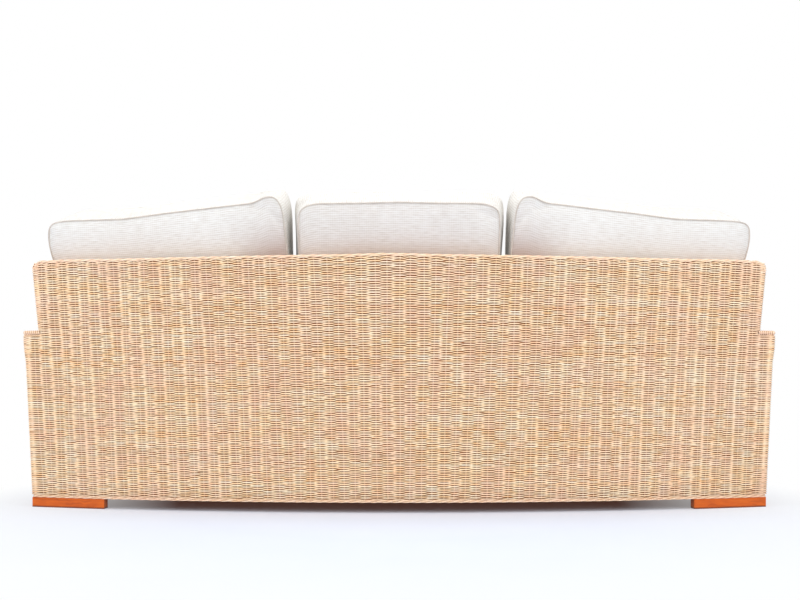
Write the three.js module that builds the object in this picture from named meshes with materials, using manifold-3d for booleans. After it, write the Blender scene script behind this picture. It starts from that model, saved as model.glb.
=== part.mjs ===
// Three-seat rattan garden sofa with a bowed back, in millimetres, +Z up.
// The seat faces -Y and the bowed rear faces +Y, so the sitter's left arm is at +X.
// The origin is on the floor, under the middle of the sofa's box.

import * as THREE from 'three';
import { mergeVertices } from 'three/addons/utils/BufferGeometryUtils.js';
import Module from 'manifold-3d';

const wasm = await Module();
wasm.setup();

// Size of the woven frame
const frameWidth = 2300; // over the outer faces of the arms
const frameDepth = 1000; // from the arm fronts to the rearmost roll of the back
const footHeight = 30;
const armHeight = 546;
const backRise = 211; // the back stands this much above the arms
const deckHeight = 270; // top of the deck that carries the seat cushions
const armWidth = 130;
const bowRise = 170; // how far the middle of the rear stands behind its corners
const rearRakeAngle = 7.4; // degrees that the rear face leans back
const reclineAngle = 15; // degrees that the inner face of the back leans back
const shoulderInset = 48.5; // the back above the arms is this much narrower at each end
const shoulderFlare = 11.5; // how far each end of the back leans out at its top

// Woven skins, their borders and the poles that they are woven on
const skinThickness = 7;
const poleRadius = 14;
const topBorderHeight = 8;
const topBorderProud = 2;
const bottomBorderHeight = 9;
const seatingGap = 0.3; // left between pieces that rest on each other

// Bracket feet
const footLength = 244; // along the rear and the front
const footReturn = 150; // along the sides
const footDepth = 37;

// Seat cushions
const seatCushionGap = 3;
const seatEdgeThickness = 140;
const seatCrown = 16;
const seatSetback = 8; // from the woven front
const seatDrawIn = 6;
const seatCornerPull = 9;

// Back cushions
const backCushionThickness = 170;
const centreBackWidth = 590; // of the rear face
const centreFrontSpread = 24; // the front face is wider by this at each end
const rearCushionGap = 36; // between the rear faces of neighbouring back cushions
const frontCushionGap = 6.5; // and between their front faces
const cushionOverArm = 51; // a side cushion's rear face reaches this far out above the arm
const cushionInsideArm = 18; // and stays this far inside the arm lower down
const overArmRise = 310; // from the arm's top up to where the cushion has its full reach
const centreTopRise = 146; // upper edge of a rear face above the woven back
const sideInnerRise = 150;
const sideOuterRise = 115;
const topBoxingRise = 64; // how much higher the front upper edge stands
const cornerEar = 12; // the upper inner corner of a side cushion stands up by this
const frontCrown = 30;
const rearCrown = 6;
const topCrown = 10;
const backDrawIn = 5;
const backCornerPull = 10;

// How finely the shapes are divided
const bowBays = 14;
const poleSides = 8;
const cushionCells = [12, 10, 2];
const backPostShares = [-0.6, -0.2, 0.2, 0.6];
const frontPostShares = [-0.33, 0.33];
const sittingShare = 0.3; // the seat is crowned up to here and pressed flat behind it
const weldTolerance = 0.001;

// Sizes that follow
const halfWidth = frameWidth / 2;
const frontY = -frameDepth / 2;
const backHeight = armHeight + backRise;
const rakeSlope = Math.tan(THREE.MathUtils.degToRad(rearRakeAngle));
const reclineSlope = Math.tan(THREE.MathUtils.degToRad(reclineAngle));
const bowRadius = (halfWidth ** 2 + bowRise ** 2) / (2 * bowRise);
const rollAxisZ = backHeight - topBorderHeight / 2;
const rearCornerY = frameDepth / 2 - topBorderProud - bowRise - rakeSlope * (rollAxisZ - footHeight);
const armInnerX = halfWidth - armWidth;
const shoulderX = halfWidth - shoulderInset;

// Distance from a skin's outer face to the axis of a pole behind it
const polePlace = skinThickness + seatingGap + poleRadius;
const leaningPolePlace = skinThickness + (seatingGap + poleRadius) / Math.cos(Math.atan(reclineSlope));
const backTopThickness = 2 * leaningPolePlace;

// Heights of the layers
const frameBottom = footHeight + seatingGap;
const skinBottom = frameBottom + bottomBorderHeight + seatingGap;
const backSkinTop = backHeight - topBorderHeight - seatingGap;
const armSkinTop = armHeight - skinThickness - seatingGap;
const bottomRailZ = frameBottom + poleRadius;
const armRailZ = armSkinTop - poleRadius;
const topRailZ = backSkinTop - poleRadius;
const seatRailZ = deckHeight - skinThickness - seatingGap - poleRadius;
const seatRearRailZ = seatRailZ + 2 * poleRadius + seatingGap;
const innerPostX = armInnerX + polePlace;
const outerPostX = halfWidth - polePlace;

const finishes = {
  weave: { color: 0xd9b384, roughness: 0.62, metalness: 0 },
  pole: { color: 0xb98a55, roughness: 0.7, metalness: 0 },
  deck: { color: 0xc79f6c, roughness: 0.7, metalness: 0 },
  foot: { color: 0xb4501c, roughness: 0.35, metalness: 0 },
  linen: { color: 0xe6ded3, roughness: 0.95, metalness: 0 },
};

const sides = [
  { name: 'left', sign: 1 },
  { name: 'right', sign: -1 },
];

function mix(from, to, share) {
  return from + (to - from) * share;
}

function evenly(from, to, bays) {
  return Array.from({ length: bays + 1 }, (_, index) => mix(from, to, index / bays));
}

// The bow in plan: an arc drawn with straight bays, and the same arc set in towards the seat
const bowStations = [-halfWidth, ...evenly(-shoulderX, shoulderX, bowBays), halfWidth];

function arcDepth(x, inset) {
  return Math.sqrt((bowRadius - inset) ** 2 - x ** 2) - Math.sqrt(bowRadius ** 2 - halfWidth ** 2);
}

function bowDepth(x, inset) {
  const found = bowStations.findIndex((station) => station >= x);
  const next = found < 1 ? (found === 0 ? 1 : bowStations.length - 1) : found;
  const [low, high] = [bowStations[next - 1], bowStations[next]];
  return mix(arcDepth(low, inset), arcDepth(high, inset), (x - low) / (high - low));
}

function rearY(x, z, inset = 0) {
  return rearCornerY + rakeSlope * (z - footHeight) + bowDepth(x, inset);
}

// How far the seat side of the back stands in front of its rear face
function innerInset(z) {
  return backTopThickness + (reclineSlope - rakeSlope) * (backHeight - z);
}

function shoulderAt(z) {
  const share = Math.max(0, (z - armHeight) / (backHeight - armHeight));
  return shoulderX + shoulderFlare * share;
}

function stationsWithin(reach) {
  return [-reach, ...bowStations.filter((x) => Math.abs(x) < reach), reach];
}

// Turns a closed surface so that its faces point out
function outward(geometry) {
  const place = geometry.attributes.position;
  const order = geometry.index.array;
  const corners = [new THREE.Vector3(), new THREE.Vector3(), new THREE.Vector3()];
  let volume = 0;
  for (let face = 0; face < order.length; face += 3) {
    corners.forEach((corner, index) => corner.fromBufferAttribute(place, order[face + index]));
    volume += corners[0].dot(corners[1].clone().cross(corners[2]));
  }
  if (volume < 0) {
    geometry.setIndex(Array.from(order).reverse());
  }
  return geometry;
}

function surface(points, faces) {
  const geometry = new THREE.BufferGeometry().setFromPoints(points);
  geometry.setIndex(faces);
  return outward(geometry);
}

// A shell over the cells of a grid, closed along every free edge
function gridShell(columns, rows, outerAt, innerAt, holds = () => true) {
  const points = [];
  const numbers = new Map();
  const faces = [];
  const has = (i, j) => i >= 0 && j >= 0 && i < columns && j < rows && holds(i, j);
  const number = (layer, i, j) => {
    const key = `${layer}/${i}/${j}`;
    if (!numbers.has(key)) {
      numbers.set(key, points.length);
      points.push(layer === 'outer' ? outerAt(i, j) : innerAt(i, j));
    }
    return numbers.get(key);
  };
  const quad = (a, b, c, d) => faces.push(a, b, c, a, c, d);
  const rim = (i, j, k, l) => {
    quad(number('outer', k, l), number('outer', i, j), number('inner', i, j), number('inner', k, l));
  };
  for (let i = 0; i < columns; i += 1) {
    for (let j = 0; j < rows; j += 1) {
      if (!has(i, j)) continue;
      const ring = [[i, j], [i + 1, j], [i + 1, j + 1], [i, j + 1]];
      quad(...ring.map(([p, q]) => number('outer', p, q)));
      quad(...ring.map(([p, q]) => number('inner', p, q)).reverse());
      if (!has(i, j - 1)) rim(i, j, i + 1, j);
      if (!has(i + 1, j)) rim(i + 1, j, i + 1, j + 1);
      if (!has(i, j + 1)) rim(i + 1, j + 1, i, j + 1);
      if (!has(i - 1, j)) rim(i, j + 1, i, j);
    }
  }
  return surface(points, faces);
}

function block(low, high) {
  const [from, to] = [new THREE.Vector3(...low), new THREE.Vector3(...high)];
  const size = to.clone().sub(from);
  const geometry = new THREE.BoxGeometry(Math.abs(size.x), Math.abs(size.y), Math.abs(size.z));
  geometry.translate(...from.add(to).multiplyScalar(1 / 2));
  return geometry;
}

// Solids for cutting
function toSolid(geometry) {
  const bare = geometry.clone();
  bare.deleteAttribute('normal');
  bare.deleteAttribute('uv');
  const welded = mergeVertices(bare, weldTolerance);
  return new wasm.Manifold(new wasm.Mesh({
    numProp: 3,
    vertProperties: new Float32Array(welded.attributes.position.array),
    triVerts: new Uint32Array(welded.index.array),
  }));
}

function toGeometry(solid) {
  const { numProp, vertProperties, triVerts } = solid.getMesh();
  const geometry = new THREE.BufferGeometry();
  const places = new Float32Array((vertProperties.length / numProp) * 3);
  for (let index = 0; index < places.length; index += 1) {
    places[index] = vertProperties[Math.floor(index / 3) * numProp + (index % 3)];
  }
  geometry.setAttribute('position', new THREE.BufferAttribute(places, 3));
  geometry.setIndex(new THREE.BufferAttribute(new Uint32Array(triVerts), 1));
  return geometry;
}

// Cuts the tools away and keeps the main piece, without slivers left past the cut
function cutAway(geometry, tools) {
  const whole = tools.reduce((rest, tool) => rest.subtract(toSolid(tool)), toSolid(geometry));
  const pieces = whole.decompose();
  pieces.sort((a, b) => b.volume() - a.volume());
  return toGeometry(pieces[0]);
}

// Poles: each can also give a swollen copy of itself, to cope its neighbours with
const swell = seatingGap / Math.cos(Math.PI / poleSides);
const cylinderAxis = new THREE.Vector3(0, 1, 0);

function straightPole(from, to) {
  return (extra = 0) => {
    const run = to.clone().sub(from);
    const radius = poleRadius + extra;
    const geometry = new THREE.CylinderGeometry(radius, radius, run.length(), poleSides);
    const direction = run.clone().normalize();
    geometry.applyQuaternion(new THREE.Quaternion().setFromUnitVectors(cylinderAxis, direction));
    geometry.translate(...from.clone().add(to).multiplyScalar(1 / 2));
    return geometry;
  };
}

class StationCurve extends THREE.Curve {
  constructor(points) {
    super();
    this.points = points;
  }

  getPoint(share, target = new THREE.Vector3()) {
    const place = share * (this.points.length - 1);
    const index = Math.min(Math.floor(place), this.points.length - 2);
    return target.lerpVectors(this.points[index], this.points[index + 1], place - index);
  }

  getPointAt(share, target) {
    return this.getPoint(share, target);
  }

  getTangentAt(share, target) {
    return this.getTangent(share, target);
  }
}

function alongBow(shape, z, inset, reach) {
  const points = stationsWithin(reach).map((x) => new THREE.Vector3(x, rearY(x, z, inset), z));
  const extrudePath = new StationCurve(points);
  const steps = points.length - 1;
  return new THREE.ExtrudeGeometry(shape, { extrudePath, steps, bevelEnabled: false });
}

function roundShape(radius) {
  const turns = evenly(0, 2 * Math.PI, poleSides).slice(0, poleSides);
  const at = (turn) => new THREE.Vector2(radius * Math.cos(turn), radius * Math.sin(turn));
  return new THREE.Shape(turns.map(at));
}

function bowedPole(z, inset, reach) {
  return (extra = 0) => alongBow(roundShape(poleRadius + extra), z, inset, reach);
}

function cope(pole, ...neighbours) {
  return cutAway(pole(), neighbours.map((neighbour) => neighbour(swell)));
}

// Saws a pole level at its two ends
function sawBetween(geometry, low, high) {
  const reach = frameWidth;
  const slab = toSolid(block([-reach, -reach, low], [reach, reach, high]));
  return toGeometry(toSolid(geometry).intersect(slab));
}

// The pole frame
function rakedPost(x, lowZ, highZ) {
  const at = (z) => new THREE.Vector3(x, rearY(x, z, leaningPolePlace), z);
  return straightPole(at(lowZ), at(highZ));
}

function uprightPost(x, lowZ, highZ) {
  const y = frontY + polePlace;
  return straightPole(new THREE.Vector3(x, y, lowZ), new THREE.Vector3(x, y, highZ));
}

function frontToBack(x, z) {
  const start = new THREE.Vector3(x, frontY + polePlace, z);
  return straightPole(start, new THREE.Vector3(x, rearY(x, z, leaningPolePlace), z));
}

function acrossFront(reach, z) {
  const y = frontY + polePlace;
  return straightPole(new THREE.Vector3(-reach, y, z), new THREE.Vector3(reach, y, z));
}

function poleFrame() {
  const pieces = {};
  const rearBottom = bowedPole(bottomRailZ, leaningPolePlace, outerPostX);
  const frontBottom = acrossFront(outerPostX, bottomRailZ);
  const topRail = bowedPole(topRailZ, leaningPolePlace, shoulderX - skinThickness - seatingGap);
  const seatFront = acrossFront(innerPostX, seatRailZ);
  const seatRearInset = innerInset(seatRearRailZ) - leaningPolePlace;
  const seatRear = bowedPole(seatRearRailZ, seatRearInset, innerPostX + poleRadius);
  const [cornerLow, cornerHigh] = [frameBottom - poleRadius, armSkinTop + poleRadius];
  const corners = sides.map(({ sign }) => rakedPost(sign * outerPostX, cornerLow, cornerHigh));
  const frontCorners = sides.map(({ sign }) => uprightPost(sign * outerPostX, frameBottom, armSkinTop));
  const frontInners = sides.map(({ sign }) => uprightPost(sign * innerPostX, bottomRailZ, armSkinTop));
  const backEnds = sides.map(({ sign }) => rakedPost(sign * innerPostX, bottomRailZ, topRailZ));

  pieces.rear_bottom_rail = cope(rearBottom, ...corners);
  pieces.front_bottom_rail = cope(frontBottom, ...frontCorners);
  pieces.back_top_rail = topRail();
  pieces.seat_front_rail = cope(seatFront, ...frontInners);
  pieces.seat_rear_rail = seatRear();

  sides.forEach(({ name, sign }, index) => {
    const outerX = sign * outerPostX;
    const innerX = sign * innerPostX;
    const [corner, frontCorner] = [corners[index], frontCorners[index]];
    const [frontInner, backEnd] = [frontInners[index], backEnds[index]];
    pieces[`${name}_rear_corner_post`] = sawBetween(corner(), frameBottom, armSkinTop);
    pieces[`${name}_front_outer_post`] = frontCorner();
    pieces[`${name}_front_inner_post`] = cope(frontInner, frontBottom);
    pieces[`${name}_back_end_post`] = cope(backEnd, rearBottom, topRail);
    const [bottomRail, seatSide] = [frontToBack(outerX, bottomRailZ), frontToBack(innerX, seatRailZ)];
    pieces[`${name}_bottom_rail`] = cope(bottomRail, corner, frontCorner, rearBottom, frontBottom);
    pieces[`${name}_arm_outer_rail`] = cope(frontToBack(outerX, armRailZ), corner, frontCorner);
    pieces[`${name}_arm_inner_rail`] = cope(frontToBack(innerX, armRailZ), backEnd, frontInner);
    pieces[`${name}_seat_side_rail`] = cope(seatSide, backEnd, frontInner, seatFront);
  });

  frontPostShares.forEach((share, index) => {
    const post = uprightPost(share * innerPostX, bottomRailZ, seatRailZ);
    pieces[`seat_front_post_${index + 1}`] = cope(post, frontBottom, seatFront);
  });

  backPostShares.forEach((share, index) => {
    const x = share * innerPostX;
    const post = rakedPost(x, bottomRailZ, topRailZ);
    pieces[`back_post_${index + 1}`] = cope(post, rearBottom, topRail);
    pieces[`seat_bearer_${index + 1}`] = cope(frontToBack(x, seatRailZ), post, seatFront);
  });

  pieces.seat_deck = seatDeck([...frontInners, ...backEnds]);
  return pieces;
}

// The woven deck lies on the seat rails and bearers, under the feet of the inner skins
function seatDeck(posts) {
  const xs = stationsWithin(innerPostX);
  const front = frontY + skinThickness + seatingGap;
  const rearInset = innerInset(seatRearRailZ) - skinThickness;
  const at = (z) => (i, j) => {
    return new THREE.Vector3(xs[i], j === 0 ? front : rearY(xs[i], seatRearRailZ, rearInset), z);
  };
  const sheet = gridShell(xs.length - 1, 1, at(deckHeight), at(deckHeight - skinThickness));
  return cutAway(sheet, posts.map((post) => post(swell)));
}

// The woven skins
function rearWeave() {
  const heights = [skinBottom, armSkinTop, armHeight, backSkinTop];
  const last = bowStations.length - 1;
  const place = (inset) => (i, j) => {
    const z = heights[j];
    const edge = Math.sign(bowStations[i]) * shoulderAt(z);
    const x = i === 1 || i === last - 1 ? edge : bowStations[i];
    return new THREE.Vector3(x, rearY(x, z, inset), z);
  };
  const holds = (i, j) => j === 0 || (i > 0 && i < last - 1);
  return gridShell(last, heights.length - 1, place(0), place(skinThickness), holds);
}

function innerBackWeave() {
  const heights = [deckHeight + seatingGap, armHeight + seatingGap, backSkinTop];
  const xs = [-shoulderX, ...stationsWithin(armInnerX - seatingGap), shoulderX];
  const last = xs.length - 1;
  const place = (thickness) => (i, j) => {
    const z = heights[j];
    const x = i === 0 || i === last ? Math.sign(xs[i]) * shoulderAt(z) : xs[i];
    return new THREE.Vector3(x, rearY(x, z, innerInset(z) - thickness), z);
  };
  const holds = (i, j) => j === 1 || (i > 0 && i < last - 1);
  return gridShell(last, 2, place(0), place(skinThickness), holds);
}

function backEndWeave(sign) {
  const heights = [armHeight + seatingGap, backSkinTop];
  const place = (thickness) => (i, j) => {
    const z = heights[j];
    const x = sign * (shoulderAt(z) - thickness);
    const inset = i === 0 ? innerInset(z) - skinThickness - seatingGap : skinThickness + seatingGap;
    return new THREE.Vector3(x, rearY(x, z, inset), z);
  };
  return gridShell(1, 1, place(0), place(skinThickness));
}

function armSideWeave(x, thickness, lowZ, rearInsetAt) {
  const heights = [lowZ, armSkinTop];
  const place = (depth) => (i, j) => {
    const z = heights[j];
    const y = i === 0 ? frontY + skinThickness + seatingGap : rearY(x + depth, z, rearInsetAt(z));
    return new THREE.Vector3(x + depth, y, z);
  };
  return gridShell(1, 1, place(0), place(thickness));
}

function armTopWeave(sign) {
  const xs = [armInnerX, shoulderX + seatingGap, halfWidth];
  const place = (z) => (i, j) => {
    const x = sign * xs[i];
    const ends = [frontY, rearY(x, z, innerInset(armHeight) - skinThickness), rearY(x, z)];
    return new THREE.Vector3(x, ends[j], z);
  };
  const holds = (i, j) => i === 1 || j === 0;
  return gridShell(2, 2, place(armHeight), place(armHeight - skinThickness), holds);
}

function skins() {
  const pieces = {};
  const frontBack = frontY + skinThickness;
  pieces.rear_weave = rearWeave();
  pieces.inner_back_weave = innerBackWeave();
  const apronReach = armInnerX - seatingGap;
  pieces.front_apron_weave = block([-apronReach, frontY, skinBottom], [apronReach, frontBack, deckHeight]);
  sides.forEach(({ name, sign }) => {
    const rearOfOuter = () => skinThickness + seatingGap;
    const rearOfInner = (z) => innerInset(z) - skinThickness;
    const [outer, inner] = [sign * halfWidth, sign * armInnerX];
    const inwards = -sign * skinThickness;
    pieces[`${name}_back_end_weave`] = backEndWeave(sign);
    pieces[`${name}_arm_outer_weave`] = armSideWeave(outer, inwards, skinBottom, rearOfOuter);
    pieces[`${name}_arm_inner_weave`] = armSideWeave(inner, -inwards, deckHeight + seatingGap, rearOfInner);
    pieces[`${name}_arm_front_weave`] = block(
      [sign * armInnerX, frontY, skinBottom],
      [sign * halfWidth, frontBack, armSkinTop],
    );
    pieces[`${name}_arm_top_weave`] = armTopWeave(sign);
  });
  return pieces;
}

// The borders that finish the edges of the skins
function borders() {
  const pieces = {};
  const low = frameBottom;
  const high = frameBottom + bottomBorderHeight;
  const frontBack = frontY + skinThickness;
  const heights = [low, high];
  const place = (inset) => (i, j) => {
    const x = bowStations[i];
    return new THREE.Vector3(x, rearY(x, heights[j], inset), heights[j]);
  };
  pieces.rear_bottom_border = gridShell(bowStations.length - 1, 1, place(0), place(skinThickness));
  pieces.front_bottom_border = block([-halfWidth, frontY, low], [halfWidth, frontBack, high]);
  sides.forEach(({ name, sign }) => {
    const at = (depth) => (i, j) => {
      const x = sign * (halfWidth - depth);
      const y = i === 0 ? frontBack + seatingGap : rearY(x, heights[j], skinThickness + seatingGap);
      return new THREE.Vector3(x, y, heights[j]);
    };
    pieces[`${name}_bottom_border`] = gridShell(1, 1, at(0), at(skinThickness));
  });
  pieces.top_border_roll = topBorderRoll();
  return pieces;
}

// A low rounded roll that caps both skins of the back
function topBorderRoll() {
  const halfBreadth = backTopThickness / 2 + topBorderProud;
  const halfHeight = topBorderHeight / 2;
  const turns = evenly(0, 2 * Math.PI, 2 * poleSides).slice(0, -1);
  const squareness = 2; // the roll's section is squarer than an ellipse by this root
  const soften = (value) => Math.sign(value) * Math.abs(value) ** (1 / squareness);
  const outline = turns.map((turn) => {
    return new THREE.Vector2(halfHeight * soften(Math.cos(turn)), halfBreadth * soften(Math.sin(turn)));
  });
  return alongBow(new THREE.Shape(outline), rollAxisZ, backTopThickness / 2, shoulderX + shoulderFlare);
}

// The bracket feet, under the corners of the bottom rails
function plinth(outline) {
  const shape = new THREE.Shape(outline.map(([x, y]) => new THREE.Vector2(x, y)));
  return new THREE.ExtrudeGeometry(shape, { depth: footHeight, bevelEnabled: false });
}

function rearFoot(sign) {
  const innerEnd = halfWidth - footLength;
  const atRear = (x, inset) => [sign * x, rearY(x, footHeight, inset)];
  const bends = bowStations.filter((x) => x > innerEnd && x < halfWidth - footDepth);
  const sideEnd = rearCornerY - footReturn;
  return plinth([
    atRear(halfWidth, 0),
    ...bowStations.filter((x) => x > innerEnd && x < halfWidth).reverse().map((x) => atRear(x, 0)),
    atRear(innerEnd, 0),
    atRear(innerEnd, footDepth),
    ...bends.map((x) => atRear(x, footDepth)),
    atRear(halfWidth - footDepth, footDepth),
    [sign * (halfWidth - footDepth), sideEnd],
    [sign * halfWidth, sideEnd],
  ]);
}

function frontFoot(sign) {
  const [outer, inner] = [sign * halfWidth, sign * (halfWidth - footDepth)];
  const end = sign * (halfWidth - footLength);
  return plinth([
    [outer, frontY],
    [outer, frontY + footReturn],
    [inner, frontY + footReturn],
    [inner, frontY + footDepth],
    [end, frontY + footDepth],
    [end, frontY],
  ]);
}

function feet() {
  const pieces = {};
  sides.forEach(({ name, sign }) => {
    pieces[`${name}_rear_foot`] = rearFoot(sign);
    pieces[`${name}_front_foot`] = frontFoot(sign);
  });
  return pieces;
}

// Cushions: a unit block is bent into the stuffed form, with a, b and c running from -1 to 1
function stuffed(placeAt) {
  const unit = new THREE.BoxGeometry(1, 1, 1, ...cushionCells);
  unit.deleteAttribute('normal');
  unit.deleteAttribute('uv');
  const form = mergeVertices(unit, weldTolerance);
  const place = form.attributes.position;
  for (let index = 0; index < place.count; index += 1) {
    const shares = [place.getX(index), place.getY(index), place.getZ(index)].map((value) => 2 * value);
    place.setXYZ(index, ...placeAt(...shares));
  }
  return outward(form);
}

function swelling(a, b) {
  return (1 - a ** 4) * (1 - b ** 4);
}

// How far a side is drawn in between its corners, and how far the corners are rounded off
function drawnIn(along, across, drawIn, cornerPull) {
  const edge = Math.sign(across) * Math.abs(across) ** 6;
  return edge * (drawIn * (1 - along ** 2) + cornerPull * Math.abs(along) ** 12);
}

function wallY(x, z) {
  return rearY(x, z, innerInset(z));
}

function seatCushion(fromX, toX) {
  const front = frontY + seatSetback;
  const bottom = deckHeight + seatingGap;
  return stuffed((a, b, c) => {
    const acrossShare = (a + 1) / 2;
    const z = bottom + (seatEdgeThickness * (c + 1)) / 2;
    const rear = mix(wallY(fromX, z), wallY(toX, z), acrossShare) - seatCushionGap;
    const x = mix(fromX, toX, acrossShare) - drawnIn(b, a, seatDrawIn, seatCornerPull);
    const y = mix(front, rear, (b + 1) / 2) - drawnIn(a, b, seatDrawIn, seatCornerPull);
    const sat = Math.min(1, (2 * (b + 1)) / (sittingShare + 1) - 1);
    return [x, y, z + (seatCrown * swelling(a, sat) * (c + 1)) / 2];
  });
}

// A back cushion leans on the inner face of the back and stands on the seat cushion
function backCushion({ from, to, lowOuter, innerFront, outerSpread, innerTop, outerTop, ear }) {
  const clear = topBorderProud + seatCushionGap;
  const along = new THREE.Vector2(to - from, wallY(to, backHeight) - wallY(from, backHeight)).normalize();
  const towardsBack = new THREE.Vector2(-along.y, along.x);
  const bottom = deckHeight + seatEdgeThickness + 2 * seatingGap;
  const start = new THREE.Vector2(from, wallY(from, backHeight));
  const length = (to - from) / along.x;
  const innerShift = innerFront - from + backCushionThickness * towardsBack.x;
  return stuffed((a, b, c) => {
    const share = (a + 1) / 2;
    const forward = (c + 1) / 2;
    const top = mix(innerTop, outerTop, share) + forward * topBoxingRise
      + topCrown * (1 - a ** 2) + ear * Math.max(0, -a) ** 8;
    const z = mix(bottom, top, (b + 1) / 2);
    const spread = THREE.MathUtils.smoothstep(z, armHeight, armHeight + overArmRise);
    const outerCut = (to - mix(lowOuter, to, spread)) * share;
    const shift = forward * mix(innerShift, outerSpread, share);
    const s = share * length - outerCut + shift - drawnIn(b, a, backDrawIn, backCornerPull);
    const pull = drawnIn(a, b, 0, backCornerPull);
    const depth = backCushionThickness * forward
      + (forward * frontCrown - (1 - forward) * rearCrown * Math.max(0, b)) * swelling(a, b);
    const x = start.x + along.x * s - towardsBack.x * depth;
    const y = start.y + along.y * s - towardsBack.y * depth - clear + reclineSlope * (z - backHeight);
    return [x, y, z - pull];
  });
}

function mirrored(geometry) {
  const copy = geometry.clone();
  const place = copy.attributes.position;
  for (let index = 0; index < place.count; index += 1) {
    place.setX(index, -place.getX(index));
  }
  return outward(copy);
}

function cushions() {
  const backReach = centreBackWidth / 2;
  const frontReach = backReach + centreFrontSpread;
  // The seats part under the middle of the gap between the backs' fronts, so that each pair lifts out clear
  const seatReach = frontReach + (frontCushionGap - seatCushionGap) / 2;
  const leftSeat = seatCushion(seatReach + seatCushionGap, armInnerX - seatCushionGap);
  const leftBack = backCushion({
    from: backReach + rearCushionGap,
    to: armInnerX + cushionOverArm,
    lowOuter: armInnerX - cushionInsideArm,
    innerFront: frontReach + frontCushionGap,
    outerSpread: 0,
    innerTop: backHeight + sideInnerRise,
    outerTop: backHeight + sideOuterRise,
    ear: cornerEar,
  });
  return {
    left_seat_cushion: leftSeat,
    centre_seat_cushion: seatCushion(-seatReach, seatReach),
    right_seat_cushion: mirrored(leftSeat),
    left_back_cushion: leftBack,
    centre_back_cushion: backCushion({
      from: -backReach,
      to: backReach,
      lowOuter: backReach,
      innerFront: -frontReach,
      outerSpread: centreFrontSpread,
      innerTop: backHeight + centreTopRise,
      outerTop: backHeight + centreTopRise,
      ear: 0,
    }),
    right_back_cushion: mirrored(leftBack),
  };
}

// The sofa as a scene graph
function assemble(pieces, finish) {
  const group = new THREE.Group();
  const { color, roughness, metalness } = finishes[finish];
  Object.entries(pieces).forEach(([name, geometry]) => {
    const material = new THREE.MeshStandardMaterial({ color, roughness, metalness, flatShading: true });
    const mesh = new THREE.Mesh(geometry, material);
    mesh.name = name;
    group.add(mesh);
  });
  return group;
}

const sofa = new THREE.Group();
const { seat_deck: deck, ...poles } = poleFrame();
sofa.add(assemble(poles, 'pole'));
sofa.add(assemble({ seat_deck: deck }, 'deck'));
sofa.add(assemble(skins(), 'weave'));
sofa.add(assemble(borders(), 'weave'));
sofa.add(assemble(feet(), 'foot'));
sofa.add(assemble(cushions(), 'linen'));

export default sofa;
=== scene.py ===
"""Rattan garden sofa: woven walls, borders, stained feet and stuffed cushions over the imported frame.

Metres, +Z up. The seat faces -Y, the bowed rear faces +Y, and the sitter's left is at +X.
"""
import math

import bpy
import numpy as np
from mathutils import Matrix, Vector


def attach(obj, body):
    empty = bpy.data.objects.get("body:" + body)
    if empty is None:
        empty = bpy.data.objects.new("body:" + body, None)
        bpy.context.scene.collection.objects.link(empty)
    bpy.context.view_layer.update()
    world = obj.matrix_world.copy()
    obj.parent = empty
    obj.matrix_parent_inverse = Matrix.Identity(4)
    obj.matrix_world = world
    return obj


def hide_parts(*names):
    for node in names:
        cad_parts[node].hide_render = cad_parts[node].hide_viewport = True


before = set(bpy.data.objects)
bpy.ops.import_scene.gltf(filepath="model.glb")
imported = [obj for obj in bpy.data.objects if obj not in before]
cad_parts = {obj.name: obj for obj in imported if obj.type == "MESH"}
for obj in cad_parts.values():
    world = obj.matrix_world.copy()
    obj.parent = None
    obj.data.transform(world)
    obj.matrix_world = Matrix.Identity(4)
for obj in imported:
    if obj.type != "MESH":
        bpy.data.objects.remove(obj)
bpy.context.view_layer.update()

SIDES = (("left", 1), ("right", -1))
ACROSS, DEEP, UP = np.eye(3)
FULL_TURN = 2 * math.pi

# Size of the woven frame, as in the CAD source
HALF_WIDTH = 1.15
FRONT_Y = -0.5
REAR_Y = 0.5
FOOT_HEIGHT = 0.03
DECK = 0.27
ARM_HEIGHT = 0.546
BACK_HEIGHT = 0.757
ARM_INNER = 1.02
SHOULDER = 1.1015
SHOULDER_FLARE = 0.0115
BACK_CORNER = 0.028
BOW_RISE = 0.17
RAKE = math.tan(math.radians(7.4))
RECLINE = math.tan(math.radians(15))
BACK_TOP_THICKNESS = 0.0436
ROLL_PROUD = 0.002
ROLL_HEIGHT = 0.008
WEAVE_BOTTOM = 0.0396
ARM_WEAVE_TOP = 0.5425
BACK_WEAVE_TOP = 0.7505
BOW_RADIUS = (HALF_WIDTH ** 2 + BOW_RISE ** 2) / (2 * BOW_RISE)
REAR_CORNER_Y = REAR_Y - ROLL_PROUD - BOW_RISE - RAKE * (BACK_HEIGHT - ROLL_HEIGHT / 2 - FOOT_HEIGHT)

# The weave
ROW = 0.0034  # height of one weaver
STAKE = 0.0324  # from one stake to the next
STRAND_HALF = 0.00173  # half height of a weaver between stakes
STRAND_DEPTH = 0.0015
STRAND_SWEEP = 78  # degrees that a strand's round face goes to each side
SWELL = 0.12  # a weaver looks this much fatter in front of a stake, and thinner behind it
WANDER = 0.0024  # how far a weaver goes in and out round the stakes
MIDDLE = 0.0033  # depth of the stakes' line below the skin's face
KNOT = 0.05  # a weaver's unevenness changes over this length
UNEVEN = (0.0002, 0.05, 0.11)  # of a weaver's height, of its turns round the stakes, of its painted-shade dark stretches
STAKE_RADIUS = 0.0021
# Painted shade on the stakes, which show only deep in the weave's gaps
STAKE_SHADE = 0.34
SHADE_SHEET_DEPTH = 0.0062  # depth of the dark sheet behind the weave, a painted shade seen through its gaps
SHEET_END = 0.45 * ROW  # stakes and the dark sheet end this far past the middle of the last weaver
CORNER_RADIUS = 0.008
HOLLOW_RADIUS = 0.006
CORNER_WAVE = 0.4  # share of the in and out that is left where weavers go round a corner
CORNER_PROUD = 0.0036
CORNER_FADE = 0.012
TOP_ROUND = 0.012
ARM_BULGE = 0.0043  # the arms are this much wider just under their tops
BULGE_START, BULGE_END = ARM_HEIGHT - 0.105, ARM_HEIGHT - 0.045
RIPPLE = 0.0011  # the walls are this uneven
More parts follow.
